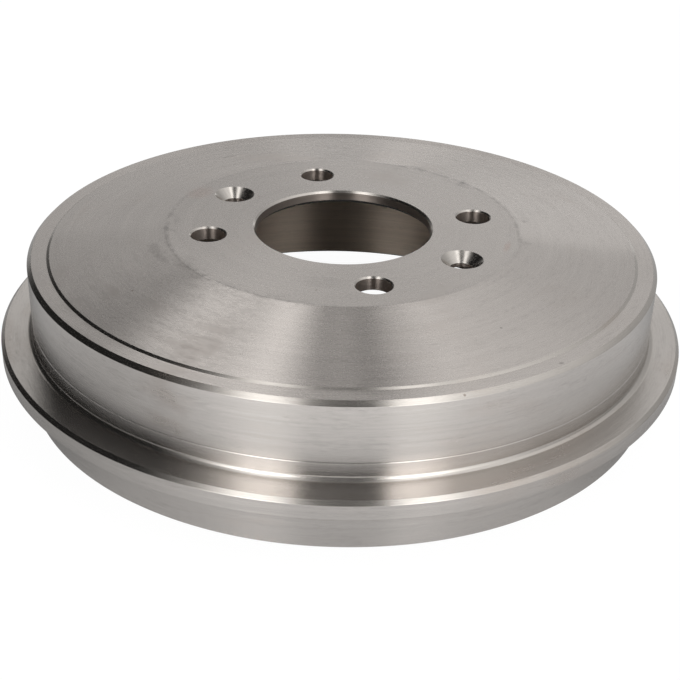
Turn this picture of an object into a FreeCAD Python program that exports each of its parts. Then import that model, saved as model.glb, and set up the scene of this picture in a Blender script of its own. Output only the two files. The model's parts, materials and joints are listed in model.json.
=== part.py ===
"""Brake drum for a car's rear axle, turned all over from one grey iron casting.

The drum stands on its open mouth, with the closed face up. The origin is at the centre
of the mouth plane and +Z is the axis of rotation. Lengths are in millimetres.

The section is one outline of named corners, revolved about the axis. The bore is in the
outline, and the wheel bolt holes and the countersunk screw holes are cut by loops.
"""

import FreeCAD
import Part
import math
import os

# Friction drum and its open mouth
friction_diameter = 203.0
friction_width = 40.0
mouth_inner_break = 0.4
skirt_diameter = 234.4
skirt_edge_chamfer = 0.5

# Undercut between the friction surface and the cast corner
undercut_depth = 1.0
undercut_slope = 1.0
inside_corner_radius = 5.0

# Outer flange that laps over the backing plate's lip
flange_diameter = 253.0
flange_thickness = 6.7
flange_height = 17.4
flange_top_chamfer = 1.3
flange_bottom_break = 0.3
flange_root_radius = 0.8

# Wall between the flange and the closed face, with the line where two cuts meet
wall_diameter = 230.0
wall_root_radius = 2.0
wall_edge_chamfer = 1.5
cut_line_height = 6.4
cut_line_width = 0.5
cut_line_depth = 0.12

# Closed face: flat rim, small step, cone, flat wheel seat
rim_height = 52.2
step_diameter = 216.0
step_height = 0.6
step_width = 1.0
seat_height = 58.4
seat_diameter = 130.0

# Inner side of the closed face: machined seat for the hub's flange, the rest as cast
seat_thickness = 5.0
hub_recess_diameter = 133.0
hub_recess_depth = 0.8
hub_recess_corner = 0.4

# Centre bore
bore_diameter = 65.0
bore_outer_chamfer = 0.7
bore_inner_chamfer = 1.3

# Holes for the wheel bolts
bolt_circle_diameter = 100.0
bolt_hole_count = 4
bolt_hole_diameter = 12.5
bolt_hole_chamfer = 0.55
first_bolt_angle = 0.0

# Countersunk holes for the two screws that hold the drum on its hub
screw_circle_diameter = 100.0
screw_hole_count = 2
screw_hole_diameter = 8.4
countersink_diameter = 15.2
countersink_angle = 90.0
first_screw_angle = 135.0

# How far a cutting tool reaches past the surface that it cuts
tool_overrun = 1.0


def unit_step(start, end):
    """Vector of length one from one outline corner to another."""
    return (end - start).normalize()


def chamfered(before, corner, after, size):
    """End points of a chamfer that takes the same length off both sides of a corner."""
    return [corner + unit_step(corner, before) * size, corner + unit_step(corner, after) * size]


def rounded(before, corner, after, radius):
    """Start, middle and end of the arc that is tangent to both sides of a corner."""
    to_before = unit_step(corner, before)
    to_after = unit_step(corner, after)
    half_angle = to_before.getAngle(to_after) / 2
    tangent_length = radius / math.tan(half_angle)
    bisector = (to_before + to_after).normalize()
    nearest = radius / math.sin(half_angle) - radius
    return [
        corner + to_before * tangent_length,
        corner + bisector * nearest,
        corner + to_after * tangent_length,
    ]


def section_wire(corners):
    """Closed wire through (radius, height, treatment, size) corners in the XZ plane."""
    points = [FreeCAD.Vector(radius, 0, height) for radius, height, _, _ in corners]
    pieces = []
    for index, (_, _, treatment, size) in enumerate(corners):
        before = points[index - 1]
        after = points[(index + 1) % len(points)]
        if treatment == "chamfer":
            pieces.append(chamfered(before, points[index], after, size))
        elif treatment == "round":
            pieces.append(rounded(before, points[index], after, size))
        else:
            pieces.append([points[index]])

    edges = []
    for index, piece in enumerate(pieces):
        if len(piece) == 3:
            edges.append(Part.Arc(*piece).toShape())
        elif len(piece) == 2:
            edges.append(Part.LineSegment(*piece).toShape())
        next_start = pieces[(index + 1) % len(pieces)][0]
        edges.append(Part.LineSegment(piece[-1], next_start).toShape())
    return Part.Wire(edges)


def cone_height(radius):
    """Height of the face's cone, between the wheel seat and the step, at a radius."""
    step_inner_radius = step_diameter / 2 - step_width
    cone_drop = seat_height - (rim_height + step_height)
    slope = cone_drop / (step_inner_radius - seat_diameter / 2)
    return seat_height - slope * (radius - seat_diameter / 2)


def drum_corners():
    """Corners of the half section, from the mouth's inner edge outwards and round."""
    friction_radius = friction_diameter / 2
    skirt_radius = skirt_diameter / 2
    flange_radius = flange_diameter / 2
    flange_top = flange_height + flange_thickness
    wall_radius = wall_diameter / 2
    cut_line_low = flange_top + cut_line_height - cut_line_width / 2
    cut_line_high = cut_line_low + cut_line_width
    cut_line_radius = wall_radius - cut_line_depth
    step_radius = step_diameter / 2
    seat_radius = seat_diameter / 2
    bore_radius = bore_diameter / 2
    hub_side = seat_height - seat_thickness
    recess_radius = hub_recess_diameter / 2
    cast_thickness = seat_thickness + hub_recess_depth
    undercut_radius = friction_radius + undercut_depth
    return [
        (friction_radius, 0, "chamfer", mouth_inner_break),
        (skirt_radius, 0, "chamfer", skirt_edge_chamfer),
        (skirt_radius, flange_height, "round", flange_root_radius),
        (flange_radius, flange_height, "chamfer", flange_bottom_break),
        (flange_radius, flange_top, "chamfer", flange_top_chamfer),
        (wall_radius, flange_top, "round", wall_root_radius),
        (wall_radius, cut_line_low, "sharp", 0),
        (cut_line_radius, (cut_line_low + cut_line_high) / 2, "sharp", 0),
        (wall_radius, cut_line_high, "sharp", 0),
        (wall_radius, rim_height, "chamfer", wall_edge_chamfer),
        (step_radius, rim_height, "sharp", 0),
        (step_radius - step_width, rim_height + step_height, "sharp", 0),
        (seat_radius, seat_height, "sharp", 0),
        (bore_radius, seat_height, "chamfer", bore_outer_chamfer),
        (bore_radius, hub_side, "chamfer", bore_inner_chamfer),
        (recess_radius, hub_side, "round", hub_recess_corner),
        (recess_radius, cone_height(recess_radius) - cast_thickness, "sharp", 0),
        (undercut_radius, cone_height(undercut_radius) - cast_thickness, "round", inside_corner_radius),
        (undercut_radius, friction_width + undercut_slope, "sharp", 0),
        (friction_radius, friction_width, "sharp", 0),
    ]


def turned_body():
    """The section revolved once about the axis of the drum."""
    face = Part.Face(section_wire(drum_corners()))
    return face.revolve(FreeCAD.Vector(0, 0, 0), FreeCAD.Vector(0, 0, 1), 360)


def places_on_circle(diameter, count, first_angle):
    """Centres of evenly spaced holes on a circle, at the height of the wheel seat."""
    places = []
    for index in range(count):
        angle = math.radians(first_angle + index * 360 / count)
        x = diameter / 2 * math.cos(angle)
        y = diameter / 2 * math.sin(angle)
        places.append(FreeCAD.Vector(x, y, seat_height))
    return places


def widened_hole(place, hole_diameter, mouth_diameter, cone_angle):
    """Tool that drills a hole down through the face and widens its mouth with a cone."""
    depth = seat_thickness + tool_overrun
    drill = Part.makeCylinder(hole_diameter / 2, depth + tool_overrun, place - FreeCAD.Vector(0, 0, depth))
    rise_per_radius = 1 / math.tan(math.radians(cone_angle / 2))
    tip_radius = hole_diameter / 2
    top_radius = mouth_diameter / 2 + tool_overrun
    height = (top_radius - tip_radius) * rise_per_radius
    tip = place - FreeCAD.Vector(0, 0, (mouth_diameter / 2 - tip_radius) * rise_per_radius)
    return drill.fuse(Part.makeCone(tip_radius, top_radius, height, tip))


def bolt_hole_tools():
    """Wheel bolt holes, each with its edge broken at 45 degrees."""
    mouth = bolt_hole_diameter + 2 * bolt_hole_chamfer
    places = places_on_circle(bolt_circle_diameter, bolt_hole_count, first_bolt_angle)
    return [widened_hole(place, bolt_hole_diameter, mouth, 90) for place in places]


def screw_hole_tools():
    """Holes for the two holding screws, countersunk for their heads."""
    places = places_on_circle(screw_circle_diameter, screw_hole_count, first_screw_angle)
    return [
        widened_hole(place, screw_hole_diameter, countersink_diameter, countersink_angle)
        for place in places
    ]


def brake_drum():
    """The whole drum: the turned body with its holes cut."""
    drum = turned_body()
    for tool in bolt_hole_tools() + screw_hole_tools():
        drum = drum.cut(tool)
    return drum.Solids[0]


os.makedirs("parts", exist_ok=True)
brake_drum().exportStep("parts/brake_drum.step")
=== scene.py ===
"""Brake drum, turned from one grey iron casting, standing on its open mouth.

The drum's section is one outline of named corners, carried round the axis. The flat parts of the
closed face are cut into eight equal sectors, and six of them run down into the holes.
Lengths are in metres and angles in radians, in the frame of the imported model.
"""

import json
import math

import bmesh
import bpy
import numpy as np
from bpy.props import FloatProperty, FloatVectorProperty, IntProperty, PointerProperty
from mathutils import Matrix, Vector


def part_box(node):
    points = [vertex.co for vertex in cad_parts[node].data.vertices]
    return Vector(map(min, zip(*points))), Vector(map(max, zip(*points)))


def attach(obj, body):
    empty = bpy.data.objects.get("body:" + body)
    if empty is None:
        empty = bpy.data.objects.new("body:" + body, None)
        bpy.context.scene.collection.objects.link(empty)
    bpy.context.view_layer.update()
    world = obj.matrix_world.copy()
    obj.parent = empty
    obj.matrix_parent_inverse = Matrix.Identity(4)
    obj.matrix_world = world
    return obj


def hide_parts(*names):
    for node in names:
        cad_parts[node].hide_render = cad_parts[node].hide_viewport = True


bl_info = {
    "name": "Brake Drum",
    "version": (1, 0, 0),
    "blender": (4, 5, 0),
    "location": "View3D > Sidebar > Drum",
    "description": "Builds a turned brake drum with its finishes and a pale studio",
    "category": "Object",
}

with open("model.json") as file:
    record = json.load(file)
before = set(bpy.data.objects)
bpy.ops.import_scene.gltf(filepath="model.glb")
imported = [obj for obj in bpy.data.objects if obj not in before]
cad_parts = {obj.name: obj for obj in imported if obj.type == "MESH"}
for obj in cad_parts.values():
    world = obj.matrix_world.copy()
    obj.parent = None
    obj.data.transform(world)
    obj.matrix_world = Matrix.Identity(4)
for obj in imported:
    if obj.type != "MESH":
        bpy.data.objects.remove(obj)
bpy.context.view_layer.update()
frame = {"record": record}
_, drum_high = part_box("brake_drum")
MM = 0.001


def mount_size(name, key):
    """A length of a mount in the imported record, in metres."""
    found = next(m for m in frame["record"]["mounts"] if m["name"] == name)
    return found["dims"][key] * MM


def length(name, description, default):
    """A length in metres that the sidebar shows in the scene's unit."""
    return FloatProperty(
        name=name, description=description, default=default, min=0, precision=5, unit="LENGTH"
    )


def share(name, description, default, top=1.0):
    """A plain number from nought to a top value."""
    return FloatProperty(
        name=name, description=description, default=default, min=0, max=top, subtype="FACTOR"
    )


def strength(name, description, default):
    """How bright a light is."""
    return FloatProperty(name=name, description=description, default=default, min=0)


def colour(name, description, default):
    """A colour in linear light."""
    return FloatVectorProperty(
        name=name, description=description, default=default, size=3, min=0, max=1, subtype="COLOR"
    )


class DrumSizes(bpy.types.PropertyGroup):
    """Lengths of the drum that the frame or the drawing gives."""

    friction_radius: length(
        "Friction radius", "Radius of the surface that the shoes rub on",
        mount_size("friction_surface", "r_mm"))
    friction_width: length("Friction width", "Height of the bored surface above the mouth", 40.0 * MM)
    mouth_break: length("Mouth break", "Chamfer at the mouth's inner edge", 0.4 * MM)
    skirt_radius: length("Skirt radius", "Radius of the plain skirt at the mouth", 117.2 * MM)
    skirt_break: length("Skirt break", "Chamfer at the skirt's lower edge", 0.5 * MM)
    flange_radius: length("Flange radius", "Radius of the outer flange", drum_high.x)
    flange_height: length("Flange height", "Height of the flange's underside", 17.4 * MM)
    flange_thickness: length("Flange thickness", "Thickness of the flange", 6.7 * MM)
    flange_chamfer: length("Flange chamfer", "Chamfer at the flange's top edge", 1.3 * MM)
    flange_break: length("Flange break", "Broken edge under the flange", 0.3 * MM)
    flange_root: length("Flange root", "Radius in the corner under the flange", 0.8 * MM)
    wall_radius: length("Wall radius", "Radius of the wall above the flange", 115.0 * MM)
    wall_root: length("Wall root", "Radius in the corner where the wall meets the flange", 2.0 * MM)
    wall_chamfer: length("Wall chamfer", "Chamfer at the wall's top edge", 1.5 * MM)
    cut_line_height: length("Cut line height", "Height of the cut line above the flange", 6.4 * MM)
    cut_line_width: length("Cut line width", "Width of the line where two cuts meet", 0.5 * MM)
    cut_line_depth: length("Cut line depth", "Depth of the line where two cuts meet", 0.12 * MM)
    rim_height: length("Rim height", "Height of the flat rim above the mouth", 52.2 * MM)
    step_radius: length("Step radius", "Radius at the foot of the small step", 108.0 * MM)
    step_height: length("Step height", "Rise of the small step", 0.6 * MM)
    step_width: length("Step width", "Width of the small step's slope", 1.0 * MM)
    seat_height: length("Seat height", "Height of the flat wheel seat", drum_high.z)
    seat_radius: length("Seat radius", "Radius of the flat wheel seat", 65.0 * MM)
    seat_thickness: length("Seat thickness", "Thickness of the face at the holes", 5.0 * MM)
    recess_radius: length("Recess radius", "Radius of the hub's recess on the inner side", 66.5 * MM)
    recess_depth: length("Recess depth", "Depth of the hub's recess", 0.8 * MM)
    recess_corner: length("Recess corner", "Radius in the corner of the hub's recess", 0.4 * MM)
    inside_corner: length("Inside corner", "Radius of the cast corner inside", 5.0 * MM)
    undercut: length("Undercut", "Depth and slope of the undercut beside the bored surface", 1.0 * MM)
    bore_radius: length(
        "Bore radius", "Radius of the centre bore", mount_size("centre_bore", "r_mm"))
    bore_chamfer: length("Bore chamfer", "Chamfer at the bore's upper edge", 0.7 * MM)
    bore_inner_chamfer: length("Inner bore chamfer", "Chamfer at the bore's lower edge", 1.3 * MM)
    hole_circle: length(
        "Hole circle", "Radius of the circle that the hole centres lie on",
        mount_size("wheel_bolt_holes", "pcd_mm") / 2)
    bolt_hole_radius: length(
        "Bolt hole radius", "Radius of a wheel bolt hole", mount_size("wheel_bolt_holes", "hole_r_mm"))
    bolt_hole_chamfer: length("Bolt hole chamfer", "Chamfer at a bolt hole's edge", 0.55 * MM)
    screw_hole_radius: length(
        "Screw hole radius", "Radius of a holding screw's hole",
        mount_size("holding_screw_holes", "hole_r_mm"))
    countersink_radius: length("Countersink radius", "Radius of a countersink's edge", 7.6 * MM)
    edge_break: length("Edge break", "Radius that a sharp turned edge really has", 0.12 * MM)
    cast_lump: length("Cast lump", "Height of the unevenness of the cast inside", 0.16 * MM)
    segments: IntProperty(
        name="Segments", description="Steps round the drum, a multiple of sixteen", default=320, min=64)


class DrumFinish(bpy.types.PropertyGroup):
    """Colours and gloss of the drum's surfaces."""

    iron: colour("Turned iron", "Colour of the turned face", (0.462, 0.432, 0.411))
    wall: colour("Turned wall", "Colour of the turned wall, flange and skirt", (0.525, 0.498, 0.474))
    edge: colour("Cut edge", "Colour of chamfers and fillets", (0.505, 0.478, 0.450))
    bored: colour("Bored surface", "Colour of the surface that the shoes rub on", (0.680, 0.570, 0.470))
    drilled: colour("Drilled wall", "Colour inside the holes and the bore", (0.370, 0.318, 0.285))
    cast: colour("Cast skin", "Colour of the cast inside", (0.110, 0.085, 0.062))
    stain: colour("Stain", "Colour of faint handling stains and first rust", (0.300, 0.215, 0.165))
    face_roughness: share("Face roughness", "Roughness of the turned face", 0.27)
    wall_roughness: share("Wall roughness", "Roughness of the turned wall", 0.23)
    edge_roughness: share("Edge roughness", "Roughness of chamfers and fillets", 0.21)


class StudioSettings(bpy.types.PropertyGroup):
    """Strengths of the studio's light."""

    strip: strength("Left strip", "Radiance of the strip light on the left, on matt surfaces", 2.0)
    key: strength("Right strip", "Radiance of the strip light on the right, on matt surfaces", 2.0)
    fill: strength("Fill light", "Radiance of the wide light on matt surfaces", 1.2)
    ambient: share("Ambient", "World light on matt surfaces", 0.40, 4.0)


FACE, WALL, EDGE, BORED, DRILLED, CAST = range(6)
MATERIALS = ("Turned_Face", "Turned_Wall", "Cut_Edge", "Bored_Surface", "Drilled_Wall", "Cast_Skin")


def section_corners(s):
    """Corners of the half section, from the mouth's inner edge outwards and round.

    Each is (radius, height, treatment, size, finish of the treatment, finish of the side after it).
    """
    top = s.flange_height + s.flange_thickness
    line_middle = top + s.cut_line_height
    line_half = s.cut_line_width / 2
    ring = s.step_radius - s.step_width
    step_top = s.rim_height + s.step_height
    slope = (s.seat_height - step_top) / (ring - s.seat_radius)
    hub_side = s.seat_height - s.seat_thickness
    cast_drop = s.seat_thickness + s.recess_depth
    bored_out = s.friction_radius + s.undercut

    def under_cone(radius):
        return s.seat_height - slope * (radius - s.seat_radius) - cast_drop

    return [
        (s.friction_radius, 0, "chamfer", s.mouth_break, EDGE, WALL),
        (s.skirt_radius, 0, "chamfer", s.skirt_break, EDGE, WALL),
        (s.skirt_radius, s.flange_height, "round", s.flange_root, WALL, WALL),
        (s.flange_radius, s.flange_height, "chamfer", s.flange_break, EDGE, WALL),
        (s.flange_radius, top, "chamfer", s.flange_chamfer, EDGE, WALL),
        (s.wall_radius, top, "round", s.wall_root, EDGE, WALL),
        (s.wall_radius, line_middle - line_half, "sharp", 0, WALL, WALL),
        (s.wall_radius - s.cut_line_depth, line_middle, "sharp", 0, WALL, WALL),
        (s.wall_radius, line_middle + line_half, "sharp", 0, WALL, WALL),
        (s.wall_radius, s.rim_height, "chamfer", s.wall_chamfer, EDGE, FACE),
        (s.step_radius, s.rim_height, "sharp", 0, EDGE, EDGE),
        (ring, step_top, "sharp", 0, EDGE, FACE),
        (s.seat_radius, s.seat_height, "sharp", 0, FACE, FACE),
        (s.bore_radius, s.seat_height, "chamfer", s.bore_chamfer, EDGE, DRILLED),
        (s.bore_radius, hub_side, "chamfer", s.bore_inner_chamfer, EDGE, FACE),
        (s.recess_radius, hub_side, "round", s.recess_corner, FACE, FACE),
        (s.recess_radius, under_cone(s.recess_radius), "sharp", 0, FACE, CAST),
        (bored_out, under_cone(bored_out), "round", s.inside_corner, CAST, BORED),
        (bored_out, s.friction_width + s.undercut, "sharp", 0, BORED, BORED),
        (s.friction_radius, s.friction_width, "sharp", 0, BORED, BORED),
    ]


def unit(vectors):
    """Vectors scaled to length one."""
    return vectors / np.linalg.norm(vectors, axis=-1, keepdims=True)


# Turn of one step of an arc, distance of a support point, and the share of a side for a broken edge
ARC_STEP, SUPPORT, BREAK_SHARE = 0.27, 0.25 * MM, 0.3


def softened_outline(corners, edge_break, closed=True):
    """Points and finishes along an outline whose corners have their real radii.

    A chamfer gives two corners, each its size away along a side. At every corner, a circle of
    radius q is tangent to both sides: with u in and v out, and a turn of t between them, the arc is
    centre - n q cos(a) + u q sin(a) for a from 0 to t, where n points to the inside of the turn
    and the tangent length is q tan(t / 2). A support point stands beside each end of the arc,
    so that smooth shading stays on the arc. Returns the points and the finish of the piece after
    each point.
    """
    spot = np.array([c[:2] for c in corners], float)
    before, after = unit(spot - np.roll(spot, 1, 0)), unit(np.roll(spot, -1, 0) - spot)
    places = []
    for index, (_, _, treatment, size, own, side) in enumerate(corners):
        if treatment == "chamfer":
            places.append((spot[index] - before[index] * size, edge_break, own, own))
            places.append((spot[index] + after[index] * size, edge_break, own, side))
        elif treatment == "round":
            places.append((spot[index], size, own, side))
        else:
            places.append((spot[index], edge_break, own, side))

    at = np.array([p[0] for p in places])
    u, v = unit(at - np.roll(at, 1, 0)), unit(np.roll(at, -1, 0) - at)
    reach = np.linalg.norm(np.roll(at, -1, 0) - at, axis=1)
    turn = np.arctan2(u[:, 0] * v[:, 1] - u[:, 1] * v[:, 0], (u * v).sum(1))
    radius = np.array([p[1] for p in places])
    tangent = radius * np.tan(abs(turn) / 2)
    if not closed:
        turn[[0, -1]], tangent[[0, -1]] = 0, 0
    room = np.minimum(reach, np.roll(reach, 1))
    squeeze = np.minimum(1, BREAK_SHARE * room / np.maximum(tangent, 1e-9))
    squeeze[radius > edge_break] = 1
    tangent, radius = tangent * squeeze, radius * squeeze
    free = reach - tangent - np.roll(tangent, -1)

    points, finish = [], []
    for i, (_, _, own, side) in enumerate(places):
        if not closed and i in (0, len(places) - 1):
            points.append(at[i][None])
            finish.append([side])
            continue
        inward = np.array([-u[i, 1], u[i, 0]]) * np.sign(turn[i])
        steps = max(2, round(abs(turn[i]) / ARC_STEP))
        angle = np.linspace(0, abs(turn[i]), steps + 1)[:, None]
        centre = at[i] - u[i] * tangent[i] + inward * radius[i]
        arc = centre - inward * radius[i] * np.cos(angle) + u[i] * radius[i] * np.sin(angle)
        lead, tail = min(SUPPORT, free[i - 1] / 4), min(SUPPORT, free[i] / 4)
        points.append(np.vstack([arc[0] - u[i] * lead, arc, arc[-1] + v[i] * tail]))
        finish.append([places[i - 1][3]] + [own] * steps + [side, side])
    return np.vstack(points), np.concatenate(finish)


def circle(radius, angles, height):
    """Points (radius cos a, radius sin a, height) for each angle."""
    x, y = radius * np.cos(angles), radius * np.sin(angles)
    return np.stack([x, y, np.broadcast_to(height, x.shape)], -1)


def grid_faces(rows, columns, wrap_rows, wrap_columns):
    """Quads of a grid of vertices numbered row by row, joined round where a side wraps."""
    r = np.arange(rows if wrap_rows else rows - 1)[:, None]
    c = np.arange(columns if wrap_columns else columns - 1)[None]
    below, beside = (r + 1) % rows, (c + 1) % columns
    quads = [r * columns + c, below * columns + c, below * columns + beside, r * columns + beside]
    return np.stack(np.broadcast_arrays(*quads), -1)


class Shell:
    """Vertices, quads and finishes gathered from several surfaces."""

    def __init__(self):
        self.vertices, self.faces, self.finish, self.count = [], [], [], 0

    def add(self, vertices, faces, finish):
        """Takes in one surface: a grid of points, its quads and the finish of each."""
        faces = faces.reshape(-1, 4)
        self.vertices.append(vertices.reshape(-1, 3))
        self.faces.append(faces + self.count)
        self.finish.append(np.broadcast_to(finish, len(faces)).ravel())
        self.count += len(self.vertices[-1])

    def mesh(self, name):
        """One closed mesh: doubles merged, faces outwards, shaded smooth."""
        mesh = bpy.data.meshes.new(name)
        mesh.from_pydata(np.vstack(self.vertices), [], np.vstack(self.faces).tolist())
        mesh.polygons.foreach_set("material_index", np.concatenate(self.finish).astype(np.int32))
        shell = bmesh.new()
        shell.from_mesh(mesh)
        bmesh.ops.remove_doubles(shell, verts=shell.verts, dist=1e-6)
        bmesh.ops.recalc_face_normals(shell, faces=shell.faces)
        shell.to_mesh(mesh)
        shell.free()
        mesh.polygons.foreach_set("use_smooth", np.ones(len(mesh.polygons), bool))
        return mesh


def cast_unevenness(x, y, height):
    """Low lumps of a sand casting: a sum of crossed waves of 9 to 30 mm, scaled to a height."""
    waves = [(210, 40, 0.3), (-130, 260, 1.9), (330, -210, 4.1), (90, 610, 2.2), (-560, 170, 5.0)]
    total = sum(np.sin(a * x + b * y + c) for a, b, c in waves)
    return height * total / len(waves)


# A cast side longer than this is cut into steps, so that its lumps show
CAST_SIDE, CAST_STEPS = 5 * MM, 30


def turned_surface(shell, s):
    """The revolved section: (radius cos a, radius sin a, height), less the flats that hold holes."""
    points, finish = softened_outline(section_corners(s), s.edge_break)
    after = np.roll(points, -1, 0)
    flats = {}
    for name, height, inner, outer in (
        ("seat", s.seat_height, s.bore_radius, s.seat_radius),
        ("hub", s.seat_height - s.seat_thickness, s.bore_radius, s.recess_radius),
    ):
        level = np.flatnonzero(
            (abs(points[:, 1] - height) < 1e-7) & (abs(after[:, 1] - height) < 1e-7)
            & (points[:, 0] > inner) & (points[:, 0] < outer))
        gap = level[np.argmax(abs(after[level, 0] - points[level, 0]))]
        flats[name] = (gap, *sorted((points[gap, 0], after[gap, 0])), height)

    long_side = (finish == CAST) & (np.linalg.norm(after - points, axis=1) > CAST_SIDE)
    fine_points, fine_finish, keep = [], [], []
    for j, point in enumerate(points):
        steps = CAST_STEPS if long_side[j] else 1
        fine_points.append(point + (after[j] - point) * (np.arange(steps)[:, None] / steps))
        fine_finish += [finish[j]] * steps
        keep += [j not in (flats["seat"][0], flats["hub"][0])] * steps
    points, finish, keep = np.vstack(fine_points), np.array(fine_finish), np.array(keep)

    angles = np.arange(s.segments) * (2 * math.pi / s.segments)
    grid = circle(points[None, :, 0], angles[:, None], points[None, :, 1])
    cast = (finish == CAST) & (np.roll(finish, 1) == CAST)
    fade = np.convolve(cast, np.ones(5) / 5, "same") * cast
    grid[..., 2] -= cast_unevenness(grid[..., 0], grid[..., 1], s.cast_lump) * fade
    faces = grid_faces(s.segments, len(points), True, True)
    shell.add(grid, faces[:, keep], np.tile(finish[keep], s.segments))
    return flats


def hole_profile(s, kind):
    """Line from the face beside a hole, over its widened edge and down its wall."""
    top, bottom = s.seat_height, s.seat_height - s.seat_thickness
    if kind == "bolt":
        wide, narrow = s.bolt_hole_radius + s.bolt_hole_chamfer, s.bolt_hole_radius
    else:
        wide, narrow = s.countersink_radius, s.screw_hole_radius
    beside = 0.8 * MM
    corners = [
        (wide + beside, top, "sharp", 0, FACE, FACE),
        (wide, top, "sharp", 0, EDGE, EDGE),
        (narrow, top - (wide - narrow), "sharp", 0, EDGE, DRILLED),
        (narrow, bottom, "sharp", 0, EDGE, FACE),
        (narrow + beside, bottom, "sharp", 0, FACE, FACE),
    ]
    return softened_outline(corners, s.edge_break, closed=False)


def sector_loop(inner, outer, angles, steps, height):
    """Border of a ring's sector: out along the arc, in, back along the inner arc, out again."""
    radii = np.linspace(outer, inner, steps + 1)[:, None]
    first, last = angles[0], angles[-1]
    parts = [
        circle(outer, angles[:-1], height),
        radii[:-1] * [math.cos(last), math.sin(last), 0],
        circle(inner, angles[:0:-1], height),
        radii[:0:-1] * [math.cos(first), math.sin(first), 0],
    ]
    return np.vstack(parts) * [1, 1, 0] + [0, 0, height]


def flat_sectors(shell, s, flats):
    """The seat and the hub's recess: eight sectors, of which six run down into a hole.

    In a hole's sector, ring k of the surface is the point of the hole's profile k, set at the
    angle at which the border's point is seen from the hole's centre.
    """
    holes = {0: "bolt", 2: "bolt", 4: "bolt", 6: "bolt", 3: "screw", 7: "screw"}
    eighth = s.segments // 8
    across = 20
    _, seat_in, seat_out, seat_z = flats["seat"]
    _, hub_in, hub_out, hub_z = flats["hub"]
    for sector in range(8):
        index = np.arange(sector * eighth - eighth // 2, sector * eighth + eighth // 2 + 1)
        angles = (index % s.segments) * (2 * math.pi / s.segments)
        if sector not in holes:
            for low, high, z in ((seat_in, seat_out, seat_z), (hub_in, hub_out, hub_z)):
                radii = np.linspace(high, low, across + 1)[:, None]
                faces = grid_faces(across + 1, len(angles), False, False)
                shell.add(circle(radii, angles, z), faces, FACE)
            continue
        upper = sector_loop(seat_in, seat_out, angles, across, seat_z)
        lower = sector_loop(hub_in, hub_out, angles, across, hub_z)
        middle = sector * math.pi / 4
        centre = s.hole_circle * np.array([math.cos(middle), math.sin(middle)])
        seen = np.arctan2(upper[:, 1] - centre[1], upper[:, 0] - centre[0])
        profile, finish = hole_profile(s, holes[sector])
        sleeve = circle(profile[:, :1], seen[None], profile[:, 1:])
        sleeve[..., :2] += centre
        rings = np.concatenate([upper[None], sleeve, lower[None]])
        faces = grid_faces(len(rings), rings.shape[1], False, True)
        ring_finish = np.concatenate([[FACE], finish[:-1], [FACE]])
        shell.add(rings, faces, np.repeat(ring_finish, rings.shape[1]))


def set_inputs(tree, made, links):
    """Sets the inputs of a node to values, or joins them to sockets."""
    for key, value in links.items():
        socket = made.inputs[key]
        if isinstance(value, bpy.types.NodeSocket):
            tree.links.new(value, socket)
        else:
            socket.default_value = value


def add_node(tree, kind, links=None, **settings):
    """A node with its settings and its inputs."""
    made = tree.nodes.new(kind)
    for key, value in settings.items():
        setattr(made, key, value)
    set_inputs(tree, made, links or {})
    return made


def maths(tree, operation, *values):
    """The output of a Math node on up to three values or sockets."""
    return add_node(tree, "ShaderNodeMath", dict(enumerate(values)), operation=operation).outputs[0]


def vector_maths(tree, operation, first, second=None):
    """The output of a Vector Math node: a number for a length or a dot product, else a vector."""
    links = {0: first}
    if second is not None:
        links[3 if operation == "SCALE" else 1] = second
    made = add_node(tree, "ShaderNodeVectorMath", links, operation=operation)
    return made.outputs["Value" if operation in ("LENGTH", "DOT_PRODUCT") else "Vector"]


def weigh(tree, first, first_weight, second, second_weight):
    """The sum of two values, each times its weight."""
    terms = maths(tree, "MULTIPLY", first, first_weight), maths(tree, "MULTIPLY", second, second_weight)
    return maths(tree, "ADD", *terms)


def ramp(tree, value, low, high, out_low=0.0, out_high=1.0):
    """A clamped smooth map of a value from one range to another."""
    links = {"Value": value, "From Min": low, "From Max": high, "To Min": out_low, "To Max": out_high}
    return add_node(tree, "ShaderNodeMapRange", links, interpolation_type="SMOOTHSTEP").outputs[0]


def object_place(tree):
    """The place on the object, in metres."""
    return add_node(tree, "ShaderNodeTexCoord").outputs["Object"]


def noise(tree, place, scale, detail, roughness=0.5, distortion=0.0):
    """The value of a noise texture at a place."""
    links = {"Vector": place, "Scale": scale, "Detail": detail, "Roughness": roughness,
             "Distortion": distortion}
    return add_node(tree, "ShaderNodeTexNoise", links).outputs["Fac"]


def blend_colours(tree, factor, first, second):
    """The output of a Mix node between two colours."""
    return add_node(tree, "ShaderNodeMix", {0: factor, 6: first, 7: second}, data_type="RGBA").outputs[2]


def tinted(tree, base, mask, amount, tint):
    """A colour that goes over to a tint by a mask times an amount."""
    return blend_colours(tree, maths(tree, "MULTIPLY", mask, amount), base, tint)


def new_group(name, inputs, outputs, vectors=()):
    """A node group with inputs (name, default), outputs by name and vector outputs.

    Returns its tree, what it is given, and the node that puts out its results.
    """
    tree = bpy.data.node_groups.new(name, "ShaderNodeTree")
    for label, default in inputs:
        kind = "NodeSocketVector" if isinstance(default, tuple) else "NodeSocketFloat"
        tree.interface.new_socket(label, in_out="INPUT", socket_type=kind).default_value = default
    for label in (*outputs, *vectors):
        kind = "NodeSocketVector" if label in vectors else "NodeSocketFloat"
        tree.interface.new_socket(label, in_out="OUTPUT", socket_type=kind)
    return tree, tree.nodes.new("NodeGroupInput").outputs, tree.nodes.new("NodeGroupOutput")


def place_group(tree, name, links=None):
    """The outputs of a placed node group."""
    return add_node(tree, "ShaderNodeGroup", links, node_tree=bpy.data.node_groups[name]).outputs


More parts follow.
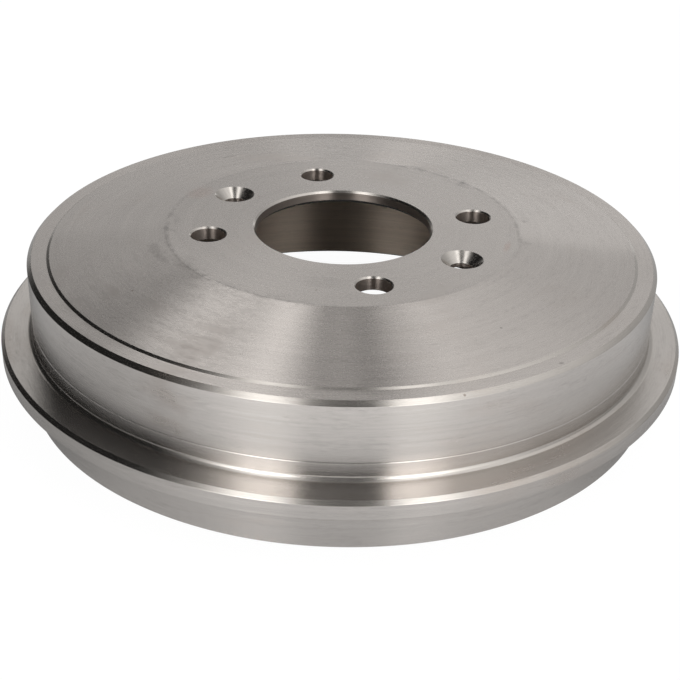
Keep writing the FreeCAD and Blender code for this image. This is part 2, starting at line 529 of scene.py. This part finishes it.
def make_lathe_coordinates():
    """Group: radius in millimetres, distance along the section, and the direction from the axis."""
    tree, _, out = new_group("Lathe Coordinates", (), ("Radius", "Along Section"), ("Direction",))
    apart = add_node(tree, "ShaderNodeSeparateXYZ", {0: object_place(tree)}).outputs
    flat = add_node(tree, "ShaderNodeCombineXYZ", {0: apart[0], 1: apart[1]}).outputs[0]
    radius = maths(tree, "MULTIPLY", vector_maths(tree, "LENGTH", flat), 1000)
    height = maths(tree, "MULTIPLY", apart[2], 1000)
    set_inputs(tree, out, {
        "Radius": radius, "Along Section": maths(tree, "SUBTRACT", radius, height),
        "Direction": vector_maths(tree, "NORMALIZE", flat)})


def drawn_out(tree, around, per_mm):
    """A place for noise that the tool draws out: slow round the drum and fast along its section."""
    lathe = place_group(tree, "Lathe Coordinates")
    turned = vector_maths(tree, "SCALE", lathe["Direction"], around)
    apart = add_node(tree, "ShaderNodeSeparateXYZ", {0: turned}).outputs
    across = maths(tree, "MULTIPLY", lathe["Along Section"], per_mm)
    return add_node(tree, "ShaderNodeCombineXYZ", {0: apart[0], 1: apart[1], 2: across}).outputs[0]


def make_turning_marks():
    """Group: concentric tool marks, as fine lines and as broader bands that fade round the drum."""
    tree, given, out = new_group(
        "Turning Marks",
        [("Lines per mm", 2.2), ("Bands per mm", 0.35), ("Run Out", 1.2), ("Line Share", 0.6)],
        ("Marks", "Lines", "Bands"))
    lines = noise(tree, drawn_out(tree, given["Run Out"], given["Lines per mm"]), 1.0, 3.0, 0.62)
    bands = noise(tree, drawn_out(tree, given["Run Out"], given["Bands per mm"]), 1.0, 2.0)
    marks = add_node(tree, "ShaderNodeMix", {0: given["Line Share"], 2: bands, 3: lines}).outputs[0]
    set_inputs(tree, out, {"Marks": marks, "Lines": lines, "Bands": bands})


def make_handling_stains():
    """Group: soft blotches of oil film and first rust, some drawn out round the drum."""
    tree, given, out = new_group(
        "Handling Stains", [("Size per m", 22.0), ("Start", 0.52), ("End", 0.75)], ("Stain",))
    wide = noise(tree, object_place(tree), given["Size per m"], 4.0, 0.55, 0.4)
    film = noise(tree, drawn_out(tree, 3.0, 0.12), 1.0, 3.0)
    both = weigh(tree, wide, 0.65, film, 0.35)
    set_inputs(tree, out, {"Stain": ramp(tree, both, given["Start"], given["End"])})


def make_specks():
    """Group: small specks, as the middles of scattered cells of which most are left out."""
    tree, given, out = new_group(
        "Specks", [("Cells per m", 150.0), ("Kept", 0.05), ("Speck", 0.07)], ("Specks",))
    cells = add_node(tree, "ShaderNodeTexVoronoi", {
        "Vector": object_place(tree), "Scale": given["Cells per m"], "Randomness": 1.0}).outputs
    near = maths(tree, "LESS_THAN", cells["Distance"], given["Speck"])
    pick = add_node(tree, "ShaderNodeSeparateColor", {0: cells["Color"]}).outputs[0]
    kept = maths(tree, "LESS_THAN", pick, given["Kept"])
    set_inputs(tree, out, {"Specks": maths(tree, "MULTIPLY", near, kept)})


def make_iron_grain():
    """Group: the grain of grey iron, drawn out into short streaks by the tool, about one half."""
    tree, given, out = new_group(
        "Iron Grain", [("Streaks Round", 38.0), ("Streaks per mm", 1.9)], ("Grain",))
    place = drawn_out(tree, given["Streaks Round"], given["Streaks per mm"])
    fine, patches = noise(tree, place, 1.0, 3.0, 0.6), noise(tree, place, 0.2, 3.0)
    set_inputs(tree, out, {"Grain": weigh(tree, fine, 0.65, patches, 0.35)})


def make_mark_at():
    """Group: a soft spot at a place on the drum, drawn out by three sizes, with a broken edge."""
    tree, given, out = new_group("Mark At", [
        ("Place", (0.0, 0.0, 0.0)), ("Sizes", (0.01, 0.01, 0.01)), ("Turn", (0.0, 0.0, 0.0))], ("Mark",))
    place = object_place(tree)
    centred = vector_maths(tree, "SUBTRACT", place, given["Place"])
    turned = add_node(
        tree, "ShaderNodeVectorRotate", {"Vector": centred, "Rotation": given["Turn"]},
        rotation_type="EULER_XYZ").outputs[0]
    away = vector_maths(tree, "LENGTH", vector_maths(tree, "DIVIDE", turned, given["Sizes"]))
    edge = weigh(tree, away, 1.0, noise(tree, place, 700.0, 3.0), 0.9)
    set_inputs(tree, out, {"Mark": ramp(tree, edge, 1.45, 0.75)})


def make_seat_edge_shade():
    """Group: painted shade at the seat's edge, a broken dark ring with faint wisps beside it.

    The ring is strongest on two opposite sides, along the given direction.
    """
    tree, given, out = new_group(
        "Seat Edge Shade", [("Seat Radius", 65.0), ("Strong Side", (-0.925, -0.380, 0.0))], ("Ring", "Wisps"))
    lathe = place_group(tree, "Lathe Coordinates")
    place = object_place(tree)
    off = maths(tree, "SUBTRACT", lathe["Radius"], given["Seat Radius"])
    wander = maths(tree, "SUBTRACT", noise(tree, place, 90.0, 3.0), 0.5)
    away = maths(tree, "ABSOLUTE", weigh(tree, off, 1.0, wander, 2.6))
    side = vector_maths(tree, "DOT_PRODUCT", lathe["Direction"], given["Strong Side"])
    weight = ramp(tree, maths(tree, "ABSOLUTE", side), 0.45, 0.95, 0.25, 1.0)
    broken = ramp(tree, noise(tree, place, 240.0, 4.0), 0.34, 0.66, 0.15, 1.0)
    ring = maths(tree, "MULTIPLY", ramp(tree, away, 1.5, 0.1), broken)
    smear = ramp(tree, noise(tree, place, 75.0, 5.0, 0.65, 1.2), 0.52, 0.74)
    wisps = maths(tree, "MULTIPLY", ramp(tree, away, 8.0, 0.5), smear)
    set_inputs(tree, out, {
        "Ring": maths(tree, "MULTIPLY", ring, weight), "Wisps": maths(tree, "MULTIPLY", wisps, weight)})


def make_cast_skin():
    """Group: the grain and pits of an iron casting's sand skin."""
    tree, given, out = new_group("Cast Skin", [("Grain per m", 900.0)], ("Height", "Shade"))
    place = object_place(tree)
    grain = noise(tree, place, given["Grain per m"], 4.0, 0.6)
    lumps = noise(tree, place, maths(tree, "MULTIPLY", given["Grain per m"], 0.14), 3.0)
    set_inputs(tree, out, {"Height": weigh(tree, grain, 1.0, lumps, 1.4), "Shade": lumps})


def empty_tree(owner, output="ShaderNodeOutputMaterial"):
    """The emptied node tree of a material or a world, and the input of its output node."""
    owner.use_nodes = True
    tree = owner.node_tree
    tree.nodes.clear()
    return tree, tree.nodes.new(output).inputs[0]


def new_material(name):
    """The tree of a new material and its Principled shader."""
    tree, surface = empty_tree(bpy.data.materials.new(name))
    shader = tree.nodes.new("ShaderNodeBsdfPrincipled")
    tree.links.new(shader.outputs[0], surface)
    return tree, shader


def relief(tree, height, strength, depth):
    """Normals of a bumpy surface, from a height and the depth that a height of one stands for."""
    links = {"Height": height, "Strength": strength, "Distance": depth}
    return add_node(tree, "ShaderNodeBump", links).outputs[0]


def rgba(values, factor=1.0):
    """A colour property as four numbers, brightened or darkened by a factor."""
    return (*[min(1.0, v * factor) for v in values], 1.0)


# Most values of a noise lie between these two, and a set mark has this size in height
NOISE_RANGE, MARK_HEIGHT = (0.3, 0.7), 0.01


def turned_metal(name, tint, stain, roughness, lines, bands, contrast, depth, anisotropy=1.0,
                 metallic=0.86, stain_share=0.35, speck_share=0.5, seat=None, marks=()):
    """Bare turned iron: tool marks in its colour, gloss and relief, stains, specks and set marks.

    The seat is its radius in millimetres and the anisotropy inside it; inside the seat the
    colour is darker, and a ring of painted shade runs along its edge.
    """
    dark_grain, seat_shade, ring_share, wisp_share = 0.20, 0.30, 0.50, 0.50
    band_gloss, grain_gloss, stain_gloss = 0.03, 0.02, 0.06
    tree, shader = new_material(name)
    turning = place_group(tree, "Turning Marks", {"Lines per mm": lines, "Bands per mm": bands})
    stains = place_group(tree, "Handling Stains")["Stain"]
    specks = place_group(tree, "Specks")["Specks"]
    grain = place_group(tree, "Iron Grain")["Grain"]
    shade = ramp(tree, turning["Marks"], *NOISE_RANGE)
    base = blend_colours(tree, shade, rgba(tint, 1 - contrast), rgba(tint, 1 + contrast))
    base = blend_colours(tree, ramp(tree, grain, 0.5, 0.3, 0.0, dark_grain), base, rgba(tint, 0.5))
    base = tinted(tree, base, stains, stain_share, rgba(stain, 1.15))
    base = tinted(tree, base, specks, speck_share, rgba(stain, 0.5))
    gloss = roughness * (1 - band_gloss), roughness * (1 + band_gloss)
    rough = ramp(tree, turning["Bands"], *NOISE_RANGE, *gloss)
    rough = maths(tree, "ADD", rough, ramp(tree, grain, 0.35, 0.65, grain_gloss, -grain_gloss))
    rough = weigh(tree, rough, 1.0, stains, stain_gloss)
    for place, across, along, tone, amount in marks:
        mark = place_group(tree, "Mark At", {
            "Place": place, "Sizes": (across, along, MARK_HEIGHT),
            "Turn": (0.0, 0.0, -math.atan2(place[1], place[0]))})["Mark"]
        base = tinted(tree, base, mark, amount, tone)
    drawn = anisotropy
    if seat:
        edge, inner_anisotropy = seat
        radius = place_group(tree, "Lathe Coordinates")["Radius"]
        inside = ramp(tree, radius, edge - 0.3, edge + 0.4, 1.0, 0.0)
        base = tinted(tree, base, inside, seat_shade, rgba(tint, 0.45))
        # A ring of painted shade along the seat's edge darkens the colour there
        seat_edge_shade = place_group(tree, "Seat Edge Shade", {"Seat Radius": edge})
        edge_shade = weigh(tree, seat_edge_shade["Ring"], ring_share, seat_edge_shade["Wisps"], wisp_share)
        base = blend_colours(tree, edge_shade, base, rgba(tint, 0.35))
        drawn = add_node(tree, "ShaderNodeMix", {0: inside, 2: anisotropy, 3: inner_anisotropy}).outputs[0]
    set_inputs(tree, shader, {
        "Base Color": base, "Roughness": rough, "Metallic": metallic, "Anisotropic": drawn,
        "Anisotropic Rotation": 0.25, "Normal": relief(tree, turning["Lines"], 1.0, depth)})


def cast_metal(name, tint, stain):
    """Iron as cast: dull brown-grey with grain, pits and rust-brown patches."""
    tree, shader = new_material(name)
    skin = place_group(tree, "Cast Skin")
    stains = place_group(tree, "Handling Stains", {"Size per m": 34.0, "Start": 0.45, "End": 0.7})
    base = blend_colours(tree, ramp(tree, skin["Shade"], *NOISE_RANGE), rgba(tint, 0.7), rgba(tint, 1.35))
    base = tinted(tree, base, stains["Stain"], 0.35, rgba(stain, 0.6))
    set_inputs(tree, shader, {
        "Base Color": base, "Roughness": ramp(tree, skin["Shade"], *NOISE_RANGE, 0.5, 0.72),
        "Metallic": 0.6, "Normal": relief(tree, skin["Height"], 0.7, 0.25 * MM)})


GREY, RUST = (0.21, 0.195, 0.185, 1), (0.40, 0.25, 0.20, 1)

# Set marks on the closed face: place, sizes across and along the turning, tone, amount
FACE_MARKS = (
    ((-0.0702, -0.0078, 0.0576), 0.0028, 0.0085, GREY, 0.34),
    ((-0.0682, -0.0166, 0.0577), 0.0022, 0.0055, GREY, 0.26),
    ((-0.0591, -0.0228, 0.0584), 0.0040, 0.0090, GREY, 0.14),
    ((-0.0164, -0.0451, 0.0584), 0.0060, 0.0110, GREY, 0.16),
    ((-0.0310, 0.0832, 0.0552), 0.0013, 0.0050, GREY, 0.36),
    ((-0.0483, 0.0388, 0.0584), 0.0060, 0.0085, RUST, 0.22),
    ((0.0544, -0.0278, 0.0584), 0.0016, 0.0060, RUST, 0.30),
    ((0.0352, -0.0809, 0.0553), 0.0006, 0.0007, GREY, 0.70),
    ((0.0488, -0.1009, 0.0522), 0.0010, 0.0012, GREY, 0.60),
)


class DRUM_OT_finishes(bpy.types.Operator):
    """Makes the node groups and the materials of the drum"""

    bl_idname = "drum.finishes"
    bl_label = "Make Finishes"

    def execute(self, context):
        s, f = context.scene.drum_sizes, context.scene.drum_finish
        for make in (make_lathe_coordinates, make_turning_marks, make_handling_stains, make_specks,
                     make_iron_grain, make_mark_at, make_seat_edge_shade, make_cast_skin):
            make()
        turned_metal(MATERIALS[FACE], f.iron, f.stain, f.face_roughness, lines=2.4, bands=0.30,
                     contrast=0.045, depth=0.012 * MM, metallic=0.9, stain_share=0.12,
                     seat=(s.seat_radius / MM, 0.45), marks=FACE_MARKS)
        turned_metal(MATERIALS[WALL], f.wall, f.stain, f.wall_roughness, lines=2.0, bands=0.45,
                     contrast=0.040, depth=0.008 * MM, metallic=0.97, stain_share=0.25)
        turned_metal(MATERIALS[EDGE], f.edge, f.stain, f.edge_roughness, lines=3.0, bands=0.60,
                     contrast=0.040, depth=0.006 * MM, anisotropy=0.55, metallic=1.0)
        turned_metal(MATERIALS[BORED], f.bored, f.stain, 0.38, lines=3.5, bands=0.50,
                     contrast=0.100, depth=0.014 * MM, speck_share=0.0)
        turned_metal(MATERIALS[DRILLED], f.drilled, f.stain, 0.33, lines=2.0, bands=0.60,
                     contrast=0.140, depth=0.020 * MM, speck_share=0.0)
        cast_metal(MATERIALS[CAST], f.cast, f.stain)
        return {"FINISHED"}


def add_object(name, data):
    """A new object, linked to the scene."""
    made = bpy.data.objects.new(name, data)
    bpy.context.scene.collection.objects.link(made)
    return made


class DRUM_OT_body(bpy.types.Operator):
    """Builds the drum as one closed surface with its finishes"""

    bl_idname = "drum.body"
    bl_label = "Build Drum"

    def execute(self, context):
        s = context.scene.drum_sizes
        shell = Shell()
        flats = turned_surface(shell, s)
        flat_sectors(shell, s, flats)
        mesh = shell.mesh("turned_drum")
        for name in MATERIALS:
            mesh.materials.append(bpy.data.materials[name])
        drum = add_object("turned_drum", mesh)
        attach(drum, "root")
        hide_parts("brake_drum")
        return {"FINISHED"}


# How the studio and the camera are turned about the drum's axis
STUDIO_TURN = math.radians(-12.95)
CAMERA_PLACE, CAMERA_LENS, CAMERA_SENSOR = (0.0023156, -0.4540435, 0.2608514), 70.981, 36.0
CAMERA_PITCH, CAMERA_YAW, CAMERA_ROLL = 0.5048696, -0.0052080, 0.0259796
# Direction from the drum to the camera, before that turn
SIGHT = Vector((0.0, -0.875, 0.484)).normalized()
WHITE, WARM_WHITE = (1, 1, 1, 1), (1.0, 0.99, 0.975, 1)


def studio_point(x, y, z):
    """A point given with the camera at the front, turned into the frame of the model."""
    return Matrix.Rotation(STUDIO_TURN, 4, "Z") @ Vector((x, y, z))


def add_camera():
    """Camera at the photograph's viewing angle."""
    level = math.cos(CAMERA_PITCH)
    ahead = Vector((math.sin(CAMERA_YAW) * level, math.cos(CAMERA_YAW) * level, -math.sin(CAMERA_PITCH)))
    right = ahead.cross(Vector((0, 0, 1))).normalized()
    up = right.cross(ahead)
    across = right * math.cos(CAMERA_ROLL) + up * math.sin(CAMERA_ROLL)
    upward = up * math.cos(CAMERA_ROLL) - right * math.sin(CAMERA_ROLL)
    basis = Matrix((across, upward, -ahead)).transposed().to_4x4()
    data = bpy.data.cameras.new("Camera")
    data.sensor_width, data.lens = CAMERA_SENSOR, CAMERA_LENS
    data.clip_start, data.clip_end = 0.01, 100.0
    camera = add_object("Camera", data)
    place = Matrix.Translation(CAMERA_PLACE)
    camera.matrix_world = Matrix.Rotation(STUDIO_TURN, 4, "Z") @ place @ basis
    bpy.context.scene.camera = camera


def add_panel_light(name, corners, radiance):
    """Area lamp that fills the rectangle of four corners and lights matt surfaces evenly."""
    a, b, c, d = [studio_point(*p) for p in corners]
    long_side, short_side = b - a, d - a
    centre = (a + b + c + d) / 4
    x = long_side.normalized()
    z = x.cross(short_side).normalized()
    if z.dot(centre) < 0:
        z = -z
    y = z.cross(x)
    data = bpy.data.lights.new(name, "AREA")
    data.shape = "RECTANGLE"
    data.size, data.size_y = long_side.length, short_side.length
    data.energy = radiance * math.pi * data.size * data.size_y
    lamp = add_object(name, data)
    lamp.matrix_world = Matrix.Translation(centre) @ Matrix((x, y, z)).transposed().to_4x4()
    lamp.visible_camera, lamp.visible_glossy = False, False


def lamp_corners(inner, outer, low, high):
    """Corners of a strip between two distances from the middle plane, from a low to a high (y, z)."""
    return [(outer, *low), (outer, *high), (inner, *high), (inner, *low)]


# How bright the side panels are at an azimuth in degrees
SIDE_PANELS = (
    (180, 0.20), (188, 0.12), (198, 0.02), (238, 0.02), (243, 0.17), (247, 0.40), (251, 1.05),
    (255, 2.10), (259, 2.10), (262, 1.50), (264.5, 0.25), (276, 0.10), (278, 0.20), (280, 1.75),
    (284, 2.25), (288, 1.95), (291, 1.20), (296, 1.15), (304, 1.08), (314, 0.92), (326, 0.70),
    (342, 0.55), (360, 0.50),
)
# What share the side panels gain at tilts round 60 degrees
SIDE_LIFT = (
    (236, 0.0), (246, 1.2), (262, 1.3), (266, 0.0), (276, 0.0), (280, 1.3), (291, 0.5), (299, 0.1),
    (308, -0.4), (330, -0.6), (345, -0.1),
)
# How bright the top panels are
TOP_PANELS = (
    (180, 0.97), (199, 1.02), (207, 2.10), (221, 2.15), (232, 1.45), (239, 0.90), (244.5, 1.40),
    (249, 2.15), (253, 1.45), (257, 0.40), (261, 0.12), (265, 0.28), (270, 0.80), (275, 0.50),
    (278, 0.20), (284, 0.10), (288, 0.15), (292.5, 0.50), (298, 1.45), (306, 1.18), (319, 1.02),
    (334, 0.93), (351, 0.88), (360, 0.83),
)
# Azimuth, and the tilts at which the top panels end and the side panels begin
PANEL_EDGE = (
    (198, 7, 34), (204, 9, 18), (221, 15, 24), (232, 16, 25), (245, 19, 31), (252, 20, 36),
    (257, 21, 38), (276, 22, 36), (290, 20, 37), (298, 22, 40), (322, 20, 38), (342, 9, 30),
)
# How bright the backdrop is, and the part of it that a level face mirrors
BACKDROP = ((0, 0.95), (45, 1.00), (75, 1.02), (105, 1.08), (128, 0.65), (180, 0.55))
LEVEL_FACE = 0.75


def surroundings_level(toward):
    """How bright the studio is in directions given with the camera at the front.

    Each direction is named by the surface that would mirror it to the camera: with the line of
    sight v and a direction l, that surface faces h = (v + l) / |v + l|, at an azimuth and a
    tilt from level. So a chamfer, a cone and a face of one azimuth share one panel of the studio.
    Above the tilt edge stands the row of side panels, below it the row of top panels, and the
    low part behind the drum is the backdrop.
    """
    half = unit(toward + np.array(SIGHT))
    facing = np.degrees(np.arctan2(half[..., 1], half[..., 0])) % 360
    tilt = np.degrees(np.arccos(np.clip(half[..., 2], -1, 1)))
    side, lift, top, back = [
        np.interp(facing, *zip(*rows)) for rows in (SIDE_PANELS, SIDE_LIFT, TOP_PANELS, BACKDROP)]
    side = side * (1 + lift * smooth(tilt, 49, 59) * (1 - 0.8 * smooth(tilt, 62, 76)))
    azimuth, low, high = zip(*PANEL_EDGE)
    edge = smooth(tilt, np.interp(facing, azimuth, low), np.interp(facing, azimuth, high))
    level = np.where(facing < 180, back, top + (side - top) * edge)
    return LEVEL_FACE + (level - LEVEL_FACE) * smooth(tilt, 0, 7)


def smooth(value, low, high):
    """Nought below the low end, one above the high end, and 3 t^2 - 2 t^3 between."""
    t = np.clip((value - low) / (high - low), 0, 1)
    return t * t * (3 - 2 * t)


def add_surroundings(radius=8.0):
    """The unlit and lit parts of the studio, as the bare metal mirrors them.

    A dome: radius (cos h cos a, cos h sin a, sin h) for azimuth a and height h, with the
    level of each direction in an attribute that its emission reads. It is visible in
    reflections and nowhere else.
    """
    a, h = np.meshgrid(np.radians(np.arange(-90, 271, 1.5)), np.radians(np.linspace(0, 89.7, 90)))

    def toward(azimuth):
        return np.stack([np.cos(h) * np.cos(azimuth), np.cos(h) * np.sin(azimuth), np.sin(h)], -1)

    grid = radius * toward(a + STUDIO_TURN)
    level = surroundings_level(toward(a)).ravel().astype(np.float32)
    mesh = bpy.data.meshes.new("Surroundings")
    mesh.from_pydata(grid.reshape(-1, 3), [], grid_faces(*a.shape, False, False).reshape(-1, 4).tolist())
    mesh.attributes.new("level", "FLOAT", "POINT").data.foreach_set("value", level)
    material = bpy.data.materials.new("Surroundings")
    tree, surface = empty_tree(material)
    value = add_node(tree, "ShaderNodeAttribute", attribute_name="level").outputs["Fac"]
    glow = add_node(tree, "ShaderNodeEmission", {"Color": WARM_WHITE, "Strength": value})
    tree.links.new(glow.outputs[0], surface)
    material.cycles.emission_sampling = "NONE"
    mesh.materials.append(material)
    dome = add_object("Surroundings", mesh)
    for kind in ("camera", "diffuse", "transmission", "shadow"):
        setattr(dome, "visible_" + kind, False)


def add_floor(side=12.0):
    """Pale floor under the drum: white to the camera, and it keeps the drum's shadow.

    In reflections it is not lit: it glows with painted light and shade, brighter in front and
    darker behind and at the sides, with a painted shadow round the drum and near darkness under
    it, and it falls away into the studio at some distance.
    """
    mesh = bpy.data.meshes.new("Floor")
    corners = [(-side, -side, 0), (side, -side, 0), (side, side, 0), (-side, side, 0)]
    mesh.from_pydata(corners, [], [(0, 1, 2, 3)])
    material = bpy.data.materials.new("Floor")
    tree, surface = empty_tree(material)
    path = tree.nodes.new("ShaderNodeLightPath").outputs
    seen = maths(tree, "MAXIMUM", path["Is Camera Ray"], path["Is Transmission Ray"])
    glow = add_node(tree, "ShaderNodeEmission", {"Color": WHITE, "Strength": 0.97})
    matt = add_node(tree, "ShaderNodeBsdfDiffuse", {"Color": (0.06, 0.06, 0.06, 1)})
    shown = add_node(tree, "ShaderNodeAddShader", {0: glow.outputs[0], 1: matt.outputs[0]})
    place = object_place(tree)
    away = vector_maths(tree, "LENGTH", place)
    level = vector_maths(tree, "NORMALIZE", place)
    beside, ahead = [
        vector_maths(tree, "DOT_PRODUCT", level, studio_point(*axis)) for axis in ((1, 0, 0), (0, -1, 0))]
    sides = ramp(tree, maths(tree, "ABSOLUTE", beside), 0.60, 0.97, 1.0, 0.65)
    # Painted light and shade of the floor in reflections: what it depends on, its range, and the
    # share of light at the two ends of the range
    falls = (
        (beside, -0.95, -0.30, 0.88, 1.40),
        (beside, 0.25, 1.0, 1.0, 0.76),
        (ahead, -0.6, 0.1, 0.42, 1.0),
        (away, 0.14, 0.24, 0.48, 1.0),
        (away, 0.130, 0.155, sides, 1.0),
        (away, 0.24, 0.42, 1.0, sides),
        (away, 0.100, 0.112, 0.10, 1.0),
    )
    lit = 1.0
    for fall in falls:
        lit = maths(tree, "MULTIPLY", lit, ramp(tree, *fall))
    # The floor glows in reflections with this painted light and shade, not with the lamps' light
    painted_floor_light = add_node(tree, "ShaderNodeEmission", {"Color": WHITE, "Strength": lit})
    plain = add_node(tree, "ShaderNodeBsdfDiffuse", {"Color": (0.8, 0.8, 0.8, 1)})
    others = add_node(tree, "ShaderNodeMixShader", {
        0: path["Is Glossy Ray"], 1: plain.outputs[0], 2: painted_floor_light.outputs[0]})
    last = add_node(tree, "ShaderNodeMixShader", {0: seen, 1: others.outputs[0], 2: shown.outputs[0]})
    tree.links.new(last.outputs[0], surface)
    material.cycles.emission_sampling = "NONE"
    mesh.materials.append(material)
    add_object("Floor", mesh)


def add_world(ambient):
    """White to the camera and to reflections, and a plain lower level on matt surfaces."""
    world = bpy.data.worlds.new("Studio")
    tree, surface = empty_tree(world, "ShaderNodeOutputWorld")
    path = tree.nodes.new("ShaderNodeLightPath").outputs
    seen = maths(tree, "MAXIMUM", path["Is Camera Ray"], path["Is Glossy Ray"])
    seen = maths(tree, "MAXIMUM", seen, path["Is Transmission Ray"])
    strength = ramp(tree, seen, 0.0, 1.0, ambient, 1.0)
    light = add_node(tree, "ShaderNodeBackground", {"Color": WHITE, "Strength": strength})
    tree.links.new(light.outputs[0], surface)
    bpy.context.scene.world = world


# Lower and upper end of both strip lights, each as its distance behind the middle and its height
STRIP_ENDS = (-0.84, 1.38), (2.20, 3.45)
FILL_CORNERS = ((1.2, -1.6, 1.2), (1.2, 1.2, 1.2), (0.7, 1.2, 2.6), (0.7, -1.6, 2.6))


class DRUM_OT_stage(bpy.types.Operator):
    """Sets up the camera, the floor, the soft lights and the surroundings"""

    bl_idname = "drum.stage"
    bl_label = "Set Stage"

    def execute(self, context):
        g = context.scene.drum_studio
        add_camera()
        add_world(g.ambient)
        add_floor()
        add_surroundings()
        for name, corners, radiance in (
            ("Left_Strip", lamp_corners(-0.30, -0.72, *STRIP_ENDS), g.strip),
            ("Right_Strip", lamp_corners(0.42, 0.82, *STRIP_ENDS), g.key),
            ("Fill", FILL_CORNERS, g.fill),
        ):
            add_panel_light(name, corners, radiance)
        context.scene.view_settings.view_transform = "Standard"
        return {"FINISHED"}


class DRUM_PT_sidebar(bpy.types.Panel):
    """Sizes, finishes and light of the drum"""

    bl_label = "Brake Drum"
    bl_idname = "DRUM_PT_sidebar"
    bl_space_type = "VIEW_3D"
    bl_region_type = "UI"
    bl_category = "Drum"

    def draw(self, context):
        for settings in (context.scene.drum_sizes, context.scene.drum_finish, context.scene.drum_studio):
            box = self.layout.box()
            for name in settings.__annotations__:
                box.prop(settings, name)
        for made in (DRUM_OT_finishes, DRUM_OT_body, DRUM_OT_stage):
            self.layout.operator(made.bl_idname)


CLASSES = (
    DrumSizes, DrumFinish, StudioSettings, DRUM_OT_finishes, DRUM_OT_body, DRUM_OT_stage, DRUM_PT_sidebar)


def register():
    """Adds the classes and hangs the settings on the scene."""
    for made in CLASSES:
        bpy.utils.register_class(made)
    bpy.types.Scene.drum_sizes = PointerProperty(type=DrumSizes)
    bpy.types.Scene.drum_finish = PointerProperty(type=DrumFinish)
    bpy.types.Scene.drum_studio = PointerProperty(type=StudioSettings)


def unregister():
    """Takes the settings and the classes away again."""
    del bpy.types.Scene.drum_sizes, bpy.types.Scene.drum_finish, bpy.types.Scene.drum_studio
    for made in reversed(CLASSES):
        bpy.utils.unregister_class(made)


def main():
    register()
    bpy.ops.drum.finishes()
    bpy.ops.drum.body()
    bpy.ops.drum.stage()


if __name__ == "__main__":
    main()
